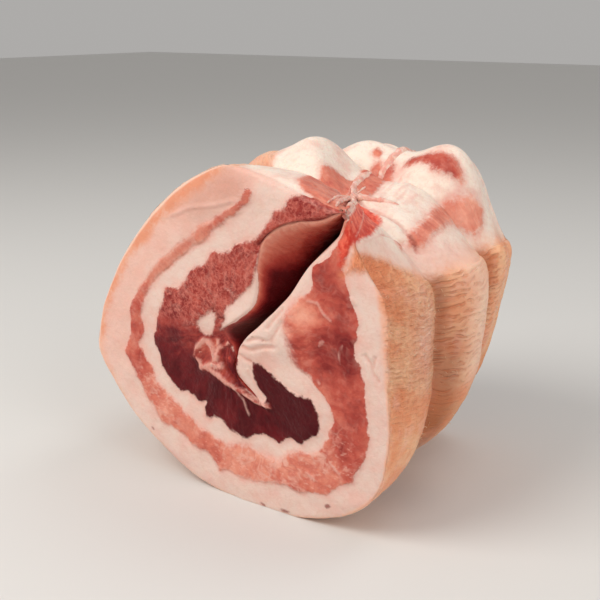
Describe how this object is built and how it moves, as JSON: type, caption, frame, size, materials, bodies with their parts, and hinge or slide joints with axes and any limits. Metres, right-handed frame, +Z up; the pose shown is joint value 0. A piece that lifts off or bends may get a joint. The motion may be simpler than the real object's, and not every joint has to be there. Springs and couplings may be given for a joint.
{
  "type": "rolled pork belly joint",
  "caption": "Raw rolled joint of boned pork belly, rind outside, waisted where strings were tied, with a marbled spiral cut face and a seam along the top.",
  "frame": {"origin": "middle of the base of the joint's bounding box, on the surface it lies on", "axes": "+Y along the roll from the gaping front cut to the back cut, +Z up, +X to the right seen from the front cut"},
  "size_m": [0.1348, 0.102, 0.1204],
  "materials": {
    "pork": "moist raw meat: satin tan rind, cream fat and glossy red lean"
  },
  "bodies": {
    "root": {"pork_belly_roll": "pork"}
  },
  "joints": []
}
